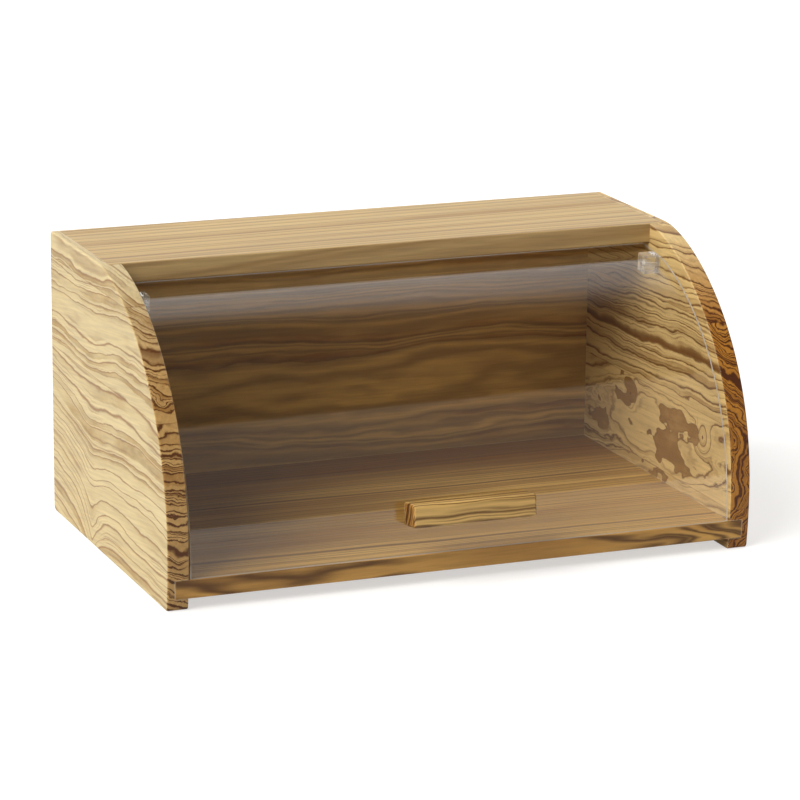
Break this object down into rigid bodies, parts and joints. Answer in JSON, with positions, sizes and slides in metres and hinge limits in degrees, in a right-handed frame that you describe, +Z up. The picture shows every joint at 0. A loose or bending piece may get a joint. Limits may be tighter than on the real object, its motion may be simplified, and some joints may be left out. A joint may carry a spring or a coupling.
{
  "type": "bread box",
  "caption": "Wooden bread box with curved-front side panels, a flat top and a one-piece curved clear lid that swings up on short side pins, opened by a wooden bar handle.",
  "frame": {"origin": "middle of the overall footprint, handle included, on the floor plane under the side panels", "axes": "+X along the width towards the right-hand side panel as seen from the front, -Y towards the lid and handle, +Z up"},
  "size_m": [0.4, 0.2556, 0.192],
  "materials": {
    "side_left_wood": "oiled olive wood, smooth",
    "side_right_wood": "oiled olive wood, smooth",
    "top_wood": "oiled olive wood, smooth",
    "bottom_wood": "oiled olive wood, smooth",
    "back_wood": "oiled olive wood, smooth",
    "handle_wood": "oiled olive wood, smooth",
    "lid_acrylic": "clear polished acrylic",
    "block_acrylic": "clear acrylic with sawn, slightly frosted faces",
    "pin_steel": "plain turned steel",
    "screw_steel": "plated steel"
  },
  "bodies": {
    "cabinet": {"side_panel_left": "side_left_wood", "side_panel_right": "side_right_wood", "top_panel": "top_wood", "bottom_board": "bottom_wood", "back_panel": "back_wood", "hinge_pin_left": "pin_steel", "hinge_pin_right": "pin_steel"},
    "lid": {"lid_sheet": "lid_acrylic", "hinge_block_left": "block_acrylic", "hinge_block_right": "block_acrylic", "handle_bar": "handle_wood", "handle_screw_left": "screw_steel", "handle_screw_right": "screw_steel"}
  },
  "joints": [
    {"name": "lid_hinge", "type": "hinge", "parent": "cabinet", "child": "lid", "pos_m": [0, 0.00361, 0.16674], "axis": [-1, 0, 0], "range_deg": [0, 117]}
  ]
}
